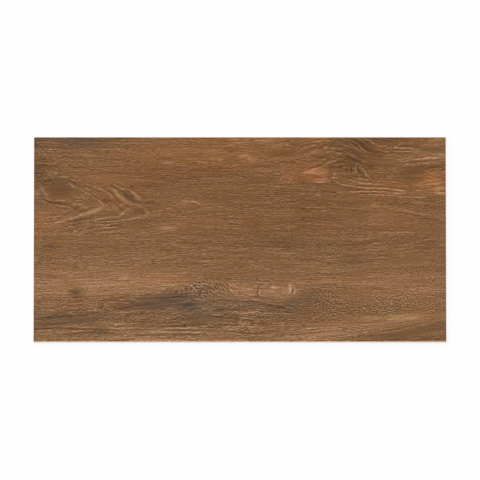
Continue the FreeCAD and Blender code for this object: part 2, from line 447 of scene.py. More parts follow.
# Single strokes of the figure, area by area: tone, half width, then the points along the stroke
strokes = {
    "cathedral arms": [
        (16, 2.2, (-268, 25), (-255, 28), (-242, 31), (-230, 35), (-218, 39), (-207, 43), (-200, 48)),
        (11, 1.8, (-201, 48), (-199, 51), (-203, 55), (-207, 59)),
        (17, 1.5, (-232, 36), (-222, 40), (-213, 44), (-205, 46)),
        (-8, 1.8, (-250, 25), (-238, 28), (-226, 31), (-212, 34), (-200, 35)),
        (-9, 1.8, (-232, 41), (-222, 42), (-214, 45), (-208, 47)),
        (22, 1.5, (-209, 29), (-200, 30.5), (-192, 32), (-184, 32.5), (-177, 32), (-172, 36),
         (-166, 41), (-160, 44)),
        (-15, 1.2, (-209, 27), (-198, 28), (-186, 28.5), (-175, 30)),
        (20, 1.4, (-207, 25), (-195, 25), (-184, 26.5), (-172, 28), (-160, 29.5), (-150, 32),
         (-141, 35), (-133, 38.5)),
        (-13, 1.2, (-206, 23), (-192, 23.5), (-178, 25), (-165, 27)),
        (20, 1.2, (-205, 21.5), (-196, 20.5), (-188, 22.5), (-178, 23.5)),
        (-16, 1.2, (-214, 18.5), (-200, 18.5), (-186, 20), (-172, 21.5)),
        (20, 1.2, (-212, 15.5), (-200, 16.5), (-190, 17.5), (-178, 17)),
        (-14, 1.2, (-210, 13), (-195, 14), (-180, 15), (-165, 17)),
        (17, 1.2, (-209, 9), (-198, 10), (-188, 11), (-176, 12.5)),
        (-7, 1.2, (-205, 6.5), (-190, 8), (-172, 9.5)),
        (13, 1.2, (-133, 38.5), (-125, 40.5), (-112, 43), (-98, 46)),
        (13, 1.4, (-138, 44), (-135, 41), (-132, 38.5)),
        (10, 1.6, (-152, 30), (-140, 33), (-126, 36), (-112, 37)),
        (19, 2.2, (-212, 78.5), (-205, 75.5), (-198, 72), (-192, 68.5), (-187, 64.5), (-185, 60)),
        (-14, 1.4, (-200, 75), (-193, 72), (-187, 69), (-182, 65.5)),
        (-10, 1.4, (-212, 74), (-205, 71), (-199, 67)),
        (19, 3.2, (-181, 69), (-177, 64), (-172, 60), (-166, 56), (-158, 52.5)),
        (-11, 1.4, (-186, 68), (-181, 62), (-176, 57), (-170, 53)),
        (13, 1.5, (-194, 77), (-187, 74.5), (-180, 71.5)),
        (12, 1.4, (-186, 72.5), (-180, 69.5), (-175, 66)), (12, 1.6, (-175, 75), (-167, 73), (-159, 72)),
        (-13, 1.8, (-189, 78), (-185, 77), (-182, 75.5)),
        (19, 2.8, (-158, 70.5), (-154, 67), (-150, 63), (-145, 59.5)),
        (10, 1.4, (-146, 58.5), (-138, 56), (-128, 57)),
        (-9, 1.4, (-170, 70), (-166, 64), (-161, 58.5), (-152, 55)),
        (14, 1.6, (-158, 51), (-148, 49.5), (-140, 47)), (17, 1.9, (-174, 50), (-171, 51), (-168, 49)),
        (14, 1.6, (-168, 45), (-165, 46), (-162, 45)), (-13, 1.6, (-175, 45), (-172, 43), (-169, 41)),
        (-11, 1.6, (-166, 50.5), (-163, 49.5), (-160, 49.5)),
        (12, 1.6, (-193, 44), (-189, 43), (-187, 41.5)), (-10, 1.5, (-203, 61), (-199, 58), (-196, 53)),
        (7, 1.6, (-70, 41), (-55, 44), (-40, 47), (-22, 47)),
        (15, 0.8, (-112, 14), (-106, 16), (-101, 17.5), (-96, 17)),
        (14, 0.8, (-118, 11), (-110, 11.5), (-102, 13), (-95, 12)),
        (-10, 0.8, (-116, 13), (-107, 13.6), (-98, 15)),
    ],
    "eye beside the cathedral": [
        (34, 1.4, (-248, 82), (-244.5, 80), (-241, 76.5), (-237.5, 75.5)),
        (15, 2.4, (-290.5, 79), (-287, 74), (-282.5, 68.5), (-279, 63)),
        (-16, 1.2, (-286.5, 81), (-284, 79.5), (-281.5, 79)),
        (-17, 1.3, (-277, 88.5), (-275, 87.3), (-273, 87)),
        (-15, 1.2, (-274, 84), (-272, 81.5), (-270, 80.5)),
        (17, 1.1, (-277, 79.5), (-275, 82.5), (-273, 85.5)),
        (-22, 1.1, (-275, 93.5), (-273.5, 92.8), (-272, 92.5)),
        (-20, 1.1, (-264.5, 95.5), (-263, 95), (-261.5, 95)),
        (9, 1.3, (-270, 74.5), (-268.3, 72.5), (-268.5, 70.5)),
        (-20, 1.0, (-250, 86), (-244, 84), (-238, 81)), (22, 1.2, (-259, 91.5), (-254, 91), (-249, 89)),
        (20, 1.1, (-279, 94), (-275, 94), (-271, 93)), (23, 1.1, (-269, 95), (-266, 96), (-264, 96)),
        (22, 0.9, (-245, 87), (-241, 86), (-236, 83)), (20, 0.9, (-235, 86.5), (-231, 85), (-228, 82)),
        (16, 1.0, (-243, 93), (-238, 92), (-232, 89)), (23, 0.9, (-224, 76), (-221, 74.5), (-218, 71.5)),
        (16, 0.9, (-230, 72), (-224, 68.5), (-218, 65)), (14, 0.9, (-226, 82), (-220, 79.5), (-214, 77)),
        (-14, 0.9, (-236, 80), (-231, 78), (-226, 74)), (-14, 0.9, (-228, 79), (-222, 77), (-216, 74)),
        (-13, 1.0, (-220, 69.5), (-214, 65), (-208, 62)), (18, 1.0, (-240, 61.5), (-233, 61), (-227, 58)),
        (16, 0.9, (-238, 57), (-231, 56.5), (-225, 54)), (20, 1.0, (-229, 64), (-226, 62), (-225, 59)),
        (-13, 0.9, (-240, 59), (-232, 58.5), (-226, 56)),
        (25, 1.1, (-267, 56.5), (-262, 57), (-256, 57.5), (-252, 55.5)),
        (27, 1.0, (-244, 52), (-237, 52.5), (-231, 51), (-224, 49.5)),
        (22, 1.0, (-230, 48), (-225, 47), (-219, 47)), (20, 1.0, (-259, 49.5), (-255, 49), (-250, 46.5)),
        (16, 1.2, (-277, 51), (-270, 50.5), (-262, 50)), (20, 1.0, (-287, 56), (-284, 54), (-281, 52.5)),
        (20, 1.0, (-286, 62), (-280, 60), (-273, 58)),
        (-27, 1.1, (-285, 60), (-278.5, 55.6), (-271, 53.3), (-262, 52.4), (-253, 51.2), (-246, 50.6)),
        (-17, 1.1, (-246, 47.5), (-240, 46.5), (-233, 46)),
        (-13, 1.0, (-268, 46), (-258, 46), (-248, 44)),
        (-17, 1.0, (-245, 21), (-237, 22.5), (-228, 24.5)),
        (-15, 1.0, (-242, 16), (-234, 18), (-225, 20)), (20, 1.0, (-250, 20), (-247, 19.5), (-244, 19)),
        (18, 0.9, (-228, 27), (-224, 26.5), (-219, 26)),
        (22, 1.0, (-222, 22.5), (-219, 22.5), (-216, 22)), (16, 0.9, (-242, 12), (-235, 14), (-228, 16)),
        (-15, 1.0, (-240, 9), (-234, 11), (-229, 14)), (16, 0.9, (-236, 6), (-231, 8), (-226, 10)),
        (-13, 0.9, (-222, 17), (-217, 16), (-212, 16.5)), (16, 0.9, (-270, 24), (-262, 25.5), (-254, 27)),
        (-10, 0.9, (-272, 20), (-262, 22), (-252, 23)), (14, 0.9, (-270, 12), (-262, 13), (-254, 14.5)),
    ],
    "upper left": [
        (18, 1.1, (-298, 128), (-285, 128), (-262, 127)),
        (13, 1.1, (-292, 133), (-280, 132), (-266, 133)),
        (14, 1.2, (-291, 112), (-280, 110), (-266, 112)),
        (-11, 1.1, (-298, 126), (-280, 126), (-255, 125)),
        (-11, 1.1, (-291, 108), (-275, 107), (-257, 107)),
        (-8, 1.2, (-290, 118), (-282, 117), (-270, 117)),
        (18, 1.2, (-250, 144), (-243, 145), (-235, 143)),
        (-11, 1.2, (-182, 148), (-165, 148), (-144, 148)),
        (11, 1.1, (-215, 128), (-212, 131), (-206, 131)),
        (16, 1.2, (-204, 130), (-198, 131), (-190, 132)),
        (14, 1.1, (-205, 102), (-195, 102), (-186, 101)), (-8, 1.1, (-215, 98), (-195, 98), (-175, 97)),
    ],
    "upper middle": [
        (20, 1.3, (-13, 146), (-5, 146), (1, 144)), (18, 1.2, (-8, 141), (-3, 141), (2, 142)),
        (22, 1.6, (-3, 121), (5, 122), (15, 120)), (16, 1.5, (10, 116), (17, 117), (24, 116)),
        (10, 1.6, (-46, 130), (-42, 131), (-38, 130)), (20, 1.5, (66, 138), (70, 138), (74, 137)),
        (16, 1.2, (22, 145), (34, 144), (47, 145)), (14, 1.1, (-73, 114), (-58, 113), (-46, 113)),
        (14, 1.1, (-112, 111), (-104, 113), (-97, 112)), (14, 1.2, (-42, 118), (-36, 117), (-30, 116)),
        (18, 1.5, (-72, 57), (-66, 55), (-58, 52)), (16, 1.1, (82, 66), (88, 66), (94, 65)),
        (20, 1.1, (109, 66), (116, 65), (121, 66)), (16, 1.1, (123, 65), (130, 66), (138, 66)),
        (14, 1.2, (104, 41), (115, 42), (128, 42)), (14, 1.1, (95, 46), (108, 47), (122, 47)),
    ],
    "wedge left of the knot": [
        (24, 0.9, (94, 99.6), (104, 102), (114, 104.4), (122, 107.2), (131, 111.4)),
        (-19, 1.1, (97, 103), (107, 105.6), (116, 108.4), (124, 112)),
        (12, 0.9, (116, 97), (121, 97.5), (127, 98)), (-9, 0.8, (108, 97.8), (116, 99.4), (124, 102)),
        (18, 1.1, (123, 110), (130, 113), (139, 114)), (-10, 1.0, (118, 113), (126, 115.5), (136, 117)),
        (-13, 1.0, (94, 95), (104, 94.5), (112, 92)),
        (19, 1.0, (95, 97), (104, 97), (112, 95.5), (118, 94)),
        (21, 0.9, (110, 83.5), (118, 83.5), (127, 83)), (-12, 1.0, (106, 81), (118, 81), (130, 81)),
        (-11, 1.2, (108, 91), (113, 90.5), (118, 90)),
        (13, 0.9, (88, 131), (98, 135), (108, 136.5), (122, 137)),
        (13, 0.9, (92, 140), (104, 141), (116, 143.5), (128, 144)),
        (-10, 1.0, (88, 136), (100, 138.5), (116, 140)), (-11, 1.0, (93, 127), (104, 132), (114, 134)),
        (11, 0.9, (94, 123), (104, 126.5), (112, 128)), (32, 1.5, (122, 133), (124, 134), (127, 133.5)),
        (-17, 1.4, (115, 133), (118, 134.5), (121, 136)),
        (16, 0.9, (127, 134), (134, 133), (142, 132.5), (150, 130)),
        (19, 1.1, (125, 127), (129, 127.5), (134, 128)), (-10, 1.0, (118, 124), (128, 124), (138, 126)),
        (-10, 1.1, (104, 122), (116, 122.5), (128, 121)),
        (13, 0.9, (112, 116.5), (118, 117), (126, 117.5)),
    ],
    "over the knot": [
        (22, 0.9, (142, 132.5), (149, 131.5), (156, 128), (162, 124), (167, 119)),
        (23, 0.9, (147, 135.5), (153, 133), (159, 129), (164, 125.5), (169, 121.5)),
        (20, 0.9, (150, 138.5), (156, 135), (162, 131), (167, 127), (171, 123.5)),
        (23, 0.9, (158, 141), (164, 137), (169, 133), (175, 128.5), (181, 123.5), (186, 120)),
        (25, 0.9, (150, 144.5), (159, 144), (166, 142), (171, 138.5), (175, 134), (180, 130),
         (187, 127), (195, 125)),
        (22, 0.9, (166, 148), (172, 146), (178, 143.5), (182, 140), (185, 136.5), (191, 134)),
        (25, 0.9, (177, 149), (184, 146), (190, 142.5), (196, 138.5), (204, 136), (216, 134.5)),
        (22, 1.0, (188, 134), (194, 131.5), (199, 130), (204, 130.5)),
        (18, 0.9, (138, 146), (146, 147), (152, 147.5)), (20, 1.0, (140, 141), (147, 140.5), (150, 140)),
        (-11, 0.9, (146, 133), (153, 131), (159, 127), (165, 122)),
        (-11, 0.9, (150, 136.5), (157, 132.5), (163, 128), (168, 124)),
        (-13, 1.0, (160, 142.5), (167, 138.5), (172, 133.5), (178, 128), (186, 123)),
        (-13, 1.0, (168, 145), (174, 142), (178, 136.5), (183, 132), (191, 129)),
        (-11, 1.0, (178, 147), (185, 143), (191, 139), (198, 135.5)),
        (-9, 1.0, (190, 148), (198, 143), (206, 139), (220, 137.5)),
        (25, 0.9, (210, 136), (218, 134), (232, 133.5), (248, 132.5), (262, 130)),
        (-8, 0.9, (205, 133.5), (222, 131.5), (245, 130)),
        (20, 0.9, (205, 127.5), (222, 128), (240, 128.5), (248, 128), (263, 127)),
        (-9, 0.9, (205, 125.5), (225, 126), (245, 126.5), (262, 124.5)),
        (13, 0.9, (218, 124), (232, 122.5), (250, 121)), (13, 0.9, (206, 119), (222, 118), (236, 116.5)),
        (13, 1.0, (228, 115), (240, 114), (252, 113)),
    ],
    "in the knot": [
        (36, 0.9, (171.5, 112), (169, 108), (168, 103), (169, 98), (171, 96.5)),
        (30, 0.9, (172, 107), (176, 105), (178, 102), (181, 99.5), (183, 96), (183, 92.5)),
        (20, 0.9, (165, 104), (164.5, 99), (166, 95)),
        (-30, 1.0, (170.5, 107), (170.5, 102), (173, 98.5), (178, 97)),
        (-22, 1.0, (161, 107), (162, 102), (162, 97)), (34, 1.3, (183, 94), (185.5, 93.5), (188, 92.5)),
        (22, 0.9, (160, 95), (167, 94), (176, 92.5)), (18, 0.9, (158, 91), (166, 90), (176, 91)),
        (22, 1.1, (141, 107), (143, 107.5), (144, 107)), (18, 1.0, (146, 110), (148, 110.5), (149, 110)),
        (20, 1.0, (150, 106), (152, 106), (153, 105)), (-24, 1.1, (145, 104.5), (147, 104.5), (148, 105)),
        (-22, 1.1, (148, 113), (150, 113), (151, 112)), (-20, 1.0, (154, 103), (155.5, 102), (156, 100)),
        (18, 0.9, (149, 98), (154, 95), (160, 96)), (20, 0.9, (138, 99), (137, 94), (134, 90)),
        (20, 0.9, (131, 89.5), (138, 90), (145, 87.5)), (-16, 0.9, (133, 87), (140, 87.5), (148, 84.5)),
    ],
    "under the knot": [
        (30, 1.1, (137, 85.5), (144, 81.5), (151, 79.5), (158, 77.5), (168, 76.5), (178, 75.5),
         (190, 75)),
        (36, 1.1, (178, 74.8), (190, 74.6), (202, 74.4), (214, 73.8), (226, 72.2), (240, 71.2)),
        (-13, 0.9, (140, 81), (150, 77), (160, 75), (172, 73.5), (186, 72.5)),
        (27, 1.0, (160, 86.5), (170, 83.5), (178, 82), (188, 81), (199, 80.6), (212, 79.4)),
        (19, 0.9, (166, 89), (176, 88), (188, 86.5)), (20, 0.9, (203, 89), (212, 89.3), (219, 89)),
        (19, 0.9, (197, 85), (206, 85), (214, 84)), (15, 0.9, (219, 84), (230, 83), (240, 81)),
        (24, 1.0, (223, 78.5), (231, 78.5), (239, 78)), (19, 0.9, (222, 72.5), (230, 72.5), (238, 71.5)),
        (31, 1.0, (160, 69), (174, 70), (190, 69.8), (204, 69.4), (222, 67.4), (240, 66.4)),
        (24, 1.1, (225, 67), (233, 67.3), (239, 67)), (19, 0.9, (164, 66), (178, 65.5), (190, 65.5)),
        (30, 1.0, (186, 65.8), (202, 65.2), (218, 64.2), (236, 62.6), (252, 62), (270, 62)),
        (20, 1.2, (240, 62), (242, 62), (244, 62)), (7, 1.0, (252, 61), (262, 61.5), (275, 61)),
        (-20, 0.9, (186, 72.3), (200, 72), (212, 71.4), (228, 69.6)),
        (-13, 0.9, (168, 79), (185, 78), (205, 77.5), (224, 76.5), (240, 75.5)),
        (-16, 0.9, (166, 67.5), (185, 67.5), (205, 67), (226, 65.4)),
        (-11, 0.9, (168, 86), (180, 84.5), (196, 83), (210, 82)),
        (-10, 0.9, (190, 88), (205, 87), (222, 87)), (21, 1.1, (250, 80), (258, 80.5), (265, 80)),
        (20, 1.1, (254, 70.5), (260, 71), (266, 71)), (12, 1.3, (137, 69), (148, 68), (160, 70)),
        (12, 1.2, (194, 105), (199, 105), (205, 105)), (19, 1.1, (216, 103), (223, 103.5), (230, 103)),
    ],
    "right end": [
        (22, 1.5, (252, 116), (262, 117), (272, 119), (285, 119), (298, 121)),
        (22, 1.3, (281, 124), (290, 124), (298, 124)),
        (16, 1.2, (228, 109), (240, 110), (252, 108), (264, 110), (278, 111), (292, 110)),
        (14, 1.2, (230, 121), (242, 118), (250, 117)),
        (-16, 1.1, (245, 114), (262, 114), (278, 116), (296, 117)),
        (-16, 1.2, (268, 79), (284, 78), (298, 79)), (22, 1.5, (272, 80), (283, 81), (292, 80)),
        (15, 1.2, (265, 91), (275, 91.5), (285, 90.5)), (17, 1.2, (268, 85.5), (278, 86), (289, 85)),
        (16, 1.2, (262, 137), (278, 138), (296, 137)), (14, 1.1, (276, 147), (286, 146.5), (297, 146)),
        (26, 1.4, (279, 75), (288, 76), (298, 75)), (26, 1.5, (284, 71), (290, 68), (298, 66)),
        (18, 1.3, (271, 142), (282, 144), (293, 143)), (-14, 1.2, (232, 137), (250, 136), (268, 136)),
        (-10, 1.3, (236, 38), (250, 36), (268, 32), (290, 27)),
        (10, 1.2, (228, 43), (245, 41), (262, 38), (280, 33), (297, 29)),
        (12, 1.1, (236, 24), (248, 24), (258, 24)), (14, 1.1, (200, 9), (225, 10), (256, 10)),
        (14, 1.1, (160, -2), (178, 0), (198, 3)), (16, 1.1, (186, -7), (200, -5), (214, -3)),
        (14, 1.1, (182, -16), (192, -15), (204, -16)), (-14, 1.1, (150, -8), (175, -6), (205, -1)),
        (14, 1.2, (256, -3), (272, 0), (286, 2)),
    ],
    "middle and left": [
        (10, 1.3, (57, -21), (68, -20), (79, -20)), (20, 1.1, (-114, -6), (-103, -6), (-92, -8)),
        (16, 1.0, (-60, -17), (-48, -15), (-34, -13)), (16, 1.0, (-57, -21), (-45, -20), (-34, -18)),
        (-14, 1.1, (-76, -15), (-65, -13), (-50, -12)), (14, 1.1, (-58, -32), (-51, -32), (-45, -31)),
    ],
    "stained hollow at the lower left": [
        (-20, 1.8, (-280, -113), (-262, -111), (-245, -110), (-221, -110)),
        (27, 1.1, (-253, -107), (-246, -106), (-239, -106)),
        (16, 1.0, (-248, -108), (-242, -109), (-236, -110)),
        (14, 1.2, (-216, -93), (-195, -92), (-178, -91), (-161, -92)),
        (-13, 1.4, (-200, -88), (-178, -85), (-158, -82)),
        (-13, 1.2, (-184, -90), (-170, -90), (-158, -89)),
        (-11, 2.0, (-209, -98), (-204, -98), (-198, -98)),
        (-14, 1.6, (-176, -102), (-160, -98), (-140, -95), (-125, -93)),
        (16, 1.2, (-195, -101), (-188, -101), (-184, -103)),
        (16, 1.1, (-275, -102), (-260, -99), (-249, -96)),
        (-10, 1.2, (-268, -98), (-256, -95), (-244, -92)),
        (13, 1.2, (-280, -103), (-273, -103), (-266, -103)),
        (13, 1.1, (-221, -103), (-214, -103), (-208, -102)),
        (-13, 1.2, (-298, -130), (-270, -129), (-240, -130), (-205, -130)),
        (-13, 1.4, (-290, -123), (-268, -121), (-240, -120), (-205, -121)),
        (-11, 1.1, (-255, -138), (-235, -136), (-208, -134)),
        (16, 1.1, (-297, -134), (-280, -132), (-262, -130), (-248, -129)),
        (13, 1.1, (-266, -134), (-250, -133), (-232, -133)),
        (14, 1.1, (-186, -128), (-172, -129), (-156, -129)),
        (13, 1.1, (-182, -125), (-168, -125), (-156, -124)),
        (-18, 1.8, (-84, -93), (-76, -95), (-66, -95)), (-18, 1.4, (-84, -100), (-74, -101), (-62, -102)),
        (22, 1.0, (-83, -97), (-76, -99), (-66, -99), (-58, -98)),
        (14, 1.0, (-82, -103), (-72, -104), (-60, -103)), (23, 1.2, (-82, -91), (-80, -90), (-78, -91)),
        (22, 1.2, (-52, -90), (-50, -90), (-48, -91)),
        (-15, 1.3, (-88, -82), (-80, -85), (-74, -88), (-62, -89)),
        (18, 1.1, (-86, -84), (-78, -87), (-72, -90)), (-4, 2.2, (-122, -84), (-112, -84), (-104, -85)),
        (-4, 2.0, (-96, -83), (-88, -82), (-82, -83)), (22, 0.9, (-115, -77), (-112, -74), (-110, -71)),
        (18, 0.9, (-122, -79), (-119, -76.5), (-117, -75)),
        (-16, 0.9, (-112, -78), (-109, -75), (-106, -72)),
        (-15, 0.9, (-104, -77), (-101, -74), (-97, -72)), (16, 0.9, (-100, -76), (-96, -73), (-92, -71)),
        (-16, 0.9, (-92, -78), (-86, -75), (-81, -74)), (16, 1.4, (-106, -66), (-100, -66), (-93, -67)),
        (24, 1.1, (-176, -56), (-171, -55.5), (-166, -57)),
        (18, 0.9, (-196, -56), (-188, -55), (-180, -57)),
        (-13, 0.9, (-200, -59), (-190, -58.5), (-178, -60)),
        (20, 0.9, (-212, -69), (-202, -69.5), (-190, -69)),
        (-13, 0.9, (-214, -72), (-203, -72), (-192, -71.5)),
        (18, 0.9, (-158, -60), (-151, -61), (-144, -60)),
        (-12, 0.9, (-165, -63), (-154, -64), (-143, -62.5)),
        (18, 0.9, (-146, -69), (-136, -68), (-126, -69)),
        (-12, 0.9, (-148, -72), (-137, -71), (-124, -72)),
        (20, 0.9, (-222, -80), (-219, -79), (-216, -81)),
        (20, 0.9, (-218, -103.5), (-208, -103), (-196, -103.5)),
        (-14, 1.1, (-204, -90), (-188, -88), (-170, -88.5)),
        (-14, 1.2, (-196, -104), (-178, -101), (-160, -99)),
    ],
    "lower middle": [
        (22, 1.2, (-17, -65), (-10, -67), (-2, -71), (12, -76)),
        (20, 1.2, (-20, -70), (-13, -73), (-6, -76)), (20, 1.2, (2, -69), (8, -71), (16, -73)),
        (16, 1.1, (-34, -82), (-30, -80), (-26, -79)),
        (-36, 2.0, (-36, -102.3), (-30, -102.3), (-24, -102)),
        (-18, 1.3, (-26, -102), (-10, -102), (8, -103)), (20, 1.2, (-12, -106), (4, -107), (20, -107)),
        (16, 1.1, (-42, -110), (-34, -109), (-26, -110)),
        (-16, 1.1, (-38, -111), (-30, -112), (-22, -114)), (-18, 1.1, (-18, -99), (-5, -99), (8, -98)),
        (-16, 1.1, (-45, -88), (-25, -88), (-5, -90), (20, -90)),
        (-24, 1.0, (-65, -118), (-61, -122), (-58, -127)), (-22, 1.0, (6, -124), (9, -127), (12, -132)),
        (-16, 1.0, (-10, -119), (-6, -122), (-3, -124)),
        (-26, 1.1, (-135, -127), (-110, -126.4), (-83, -126.4), (-56, -126)),
        (24, 1.1, (-112, -129), (-90, -129), (-60, -128.6)),
        (-32, 1.1, (-108, -131.6), (-80, -132), (-58, -131.6), (-28, -130.6)),
        (18, 1.1, (-84, -134), (-70, -134), (-54, -134)),
        (-28, 1.1, (-98, -137.2), (-75, -137.2), (-54, -137.8)),
        (22, 1.2, (-24, -127), (-5, -126), (20, -127)), (16, 1.1, (-40, -130), (-20, -130), (4, -131)),
        (-18, 1.1, (-45, -133), (-15, -133), (20, -136)), (16, 1.1, (-5, -138), (12, -139), (30, -139)),
        (-16, 1.1, (-44, -144), (-25, -143), (-8, -143)), (-16, 1.2, (-40, -124), (-20, -124), (0, -124)),
        (-14, 1.1, (-150, -131), (-130, -131), (-112, -130)),
        (-32, 1.1, (33, -93), (48, -97), (60, -99), (75, -103)),
        (-18, 1.1, (10, -91), (22, -91), (35, -93)), (-18, 1.2, (20, -113), (32, -113), (44, -114)),
        (-20, 1.1, (18, -122), (34, -122), (50, -124)), (-16, 1.2, (28, -126), (42, -126), (58, -128)),
        (26, 1.5, (45, -69), (50, -70), (56, -70)), (20, 1.3, (11, -72), (15, -72), (20, -73)),
        (18, 1.2, (14, -86), (20, -87), (26, -87)), (18, 1.3, (34, -74), (44, -74), (54, -76)),
        (18, 1.2, (8, -78), (12, -80), (22, -80)), (18, 1.2, (81, -61.5), (88, -62), (96, -61.5)),
        (12, 1.3, (104, -62.5), (120, -62), (148, -62)), (18, 1.1, (86, -132), (96, -130), (108, -129)),
    ],
    "lower right": [
        (10, 1.2, (92, -145), (130, -139), (165, -133), (200, -129)),
        (11, 1.2, (120, -146), (160, -138), (205, -131), (248, -124)),
        (14, 1.2, (200, -137), (225, -133), (245, -128), (262, -124), (288, -118)),
        (-11, 1.3, (195, -134), (220, -131), (242, -127), (262, -122)),
        (-10, 1.4, (160, -144), (190, -140), (220, -137)),
        (14, 1.5, (178, -113), (192, -113), (206, -115)),
        (18, 1.6, (214, -116), (222, -115), (234, -112)),
        (17, 1.6, (242, -114), (250, -114), (260, -113)),
        (10, 1.1, (240, -144), (262, -142), (280, -139), (297, -136)),
        (10, 1.1, (262, -140), (278, -137), (297, -133)),
        (-12, 1.4, (276, -145), (288, -145), (298, -144)),
        (-11, 1.2, (168, -148), (185, -147), (205, -147)), (-8, 1.1, (205, -75), (225, -74), (250, -75)),
        (11, 1.1, (205, -70), (214, -69), (224, -70)), (-8, 1.1, (140, -70), (160, -68), (180, -70)),
    ],
}


def bell(x, y, oval, edge=1):
    # 1 in the middle of a tilted oval, 0.37 at its half lengths; edge makes its border clearer
    middleX, middleY, halfLength, halfHeight, tilt = oval
    turnCos = math.cos(math.radians(tilt))
    turnSin = math.sin(math.radians(tilt))
    along = ((x - middleX) * turnCos + (y - middleY) * turnSin) / halfLength
    across = ((y - middleY) * turnCos - (x - middleX) * turnSin) / halfHeight
    return np.exp(-(along ** 2 + across ** 2) ** edge)


def ripple(x, y, length, twist, twistLength):
    # a wave along x that a second wave along y pushes to and fro
    return np.sin(x / length + twist * np.sin(y / twistLength))


def bentPath(points):
    # a smooth curve through the points, in four straight steps from each to the next
    corners = np.array([points[0], *points, points[-1]], float)
    path = []
    for before, here, ahead, after in zip(corners, corners[1:], corners[2:], corners[3:]):
        for t in (0, 0.25, 0.5, 0.75):
            bend = (before - 2.5 * here + 2 * ahead - after / 2) * t ** 2
            turn = (1.5 * (here - ahead) + (after - before) / 2) * t ** 3
            path.append(here + (ahead - before) * t / 2 + bend + turn)
    return [*path, corners[-1]]


def strokeCover(x, y, halfWidth, points):
    # thin at its two ends, with a faint rim of the other tone beside it
    path = bentPath(points)
    tip, rim, rimWidth = figure["strokeTip"], figure["strokeRim"], figure["strokeRimWidth"]
    nearest = np.full_like(x, np.inf)
    thinning = np.zeros_like(x)
    for step, ((fromX, fromY), (toX, toY)) in enumerate(zip(path, path[1:])):
        runX, runY = toX - fromX, toY - fromY
        part = ((x - fromX) * runX + (y - fromY) * runY) / (runX ** 2 + runY ** 2)
        part = np.clip(part, 0, 1)
        distance = np.hypot(x - fromX - part * runX, y - fromY - part * runY)
        along = (step + part) / (len(path) - 1)
        swelling = np.sin(np.pi * (tip + (1 - 2 * tip) * along)) ** 0.5
        thinning = np.where(distance < nearest, swelling, thinning)
        nearest = np.minimum(nearest, distance)
    away = (nearest / halfWidth) ** 2
    return thinning * ((1 + rim) * np.exp(-away) - rim * np.exp(-away / rimWidth))


def grainLines(x, y):
    # the across-grain coordinate: each grain line keeps one value of it
    across = y
    for height, lengthAlong, lengthAcross, start in figure["waves"]:
        across = across + height * np.sin(x / lengthAlong + y / lengthAcross + start)
    for middleX, middleY, halfLength, halfHeight, rise in figure["lifts"]:
        across = across - rise * bell(x, y, (middleX, middleY, halfLength, halfHeight, 0))
    knot = figure["knot"]
    turn = math.radians(knot["tilt"])
    awayX, awayY = x - knot["middle"][0], y - knot["middle"][1]
    side = awayY * math.cos(turn) - awayX * math.sin(turn)
    away = np.hypot(awayX, awayY)
    parted = side * knot["spread"] ** 2 / (away ** 2 + knot["spread"] ** 2)
    return across - knot["parting"] * parted * np.exp(-(away / knot["reach"]) ** 2)


def cathedralLines(x, y):
    # the same for the cathedral, where a line turns back at its point
    shape = figure["cathedral"]
    axisX, axisY = shape["axis"]
    off = y - axisY + shape["fall"] * (x - axisX)
    softened = np.sqrt(off ** 2 + shape["round"] ** 2) - shape["round"]
    slope = np.where(off > 0, shape["upper"], shape["lower"])
    return shape["crowding"] * (x + softened / slope)


def paintFigure(tile):
    count = len(tile.data.vertices)
    places = np.empty(count * 3)
    tile.data.vertices.foreach_get("co", places)
    x, y, z = (places.reshape(count, 3) / mm).T
    paint = {name: np.zeros(count) for name in ("tone", "warmth", "patch", "stroke")}
    paint["onFace"] = (z > z.max() - figure["faceDepth"]).astype(float)
    paint["across"] = grainLines(x, y)
    paint["cathedral"] = cathedralLines(x, y)
    gain, lift = figure["cathedral"]["border"]
    paint["inCathedral"] = np.clip(gain * bell(x, y, figure["cathedral"]["area"]) + lift, 0, 1)
    for *oval, tone, warmth in figure["shades"].values():
        cover = bell(x, y, oval)
        paint["tone"] += tone * cover
        paint["warmth"] += warmth * cover

    # From here on a little unsteadiness of the hand
    sway, lengthAcross, lengthAlong = figure["swayAlong"]
    rise, *wave = figure["swayAcross"]
    x, y = x + sway * np.sin(y / lengthAcross + x / lengthAlong), y + rise * ripple(x, y, *wave)
    for *oval, tone, warmth in figure["patches"].values():
        cover = bell(x, y, oval, edge=2)
        paint["patch"] += tone * cover
        paint["warmth"] += warmth * cover
    for tone, halfWidth, *points in sum(strokes.values(), []):
        fade = 4 * halfWidth    # past this the stroke and its rim are gone
        low, high = np.min(points, axis=0) - fade, np.max(points, axis=0) + fade
        close = (x > low[0]) & (x < high[0]) & (y > low[1]) & (y < high[1])
        paint["stroke"][close] += tone * strokeCover(x[close], y[close], halfWidth, points)
    depth, *wave = figure["beads"]
    paint["stroke"] *= 1 + depth * ripple(x, y, *wave)
    for name, (lowest, highest) in figure["limits"].items():
        total = sum(strength * bell(x, y, oval) for *oval, strength in figure[name])
        paint[name] = np.clip(total, lowest, highest)
    for name, values in paint.items():
        layer = tile.data.attributes.new(name, "FLOAT", "POINT")
        layer.data.foreach_set("value", values.astype(np.float32))


paintFigure(tile)
strokeCount = sum(len(area) for area in strokes.values())
print("wood figure painted:", len(figure["shades"]), "shades,", strokeCount, "strokes")

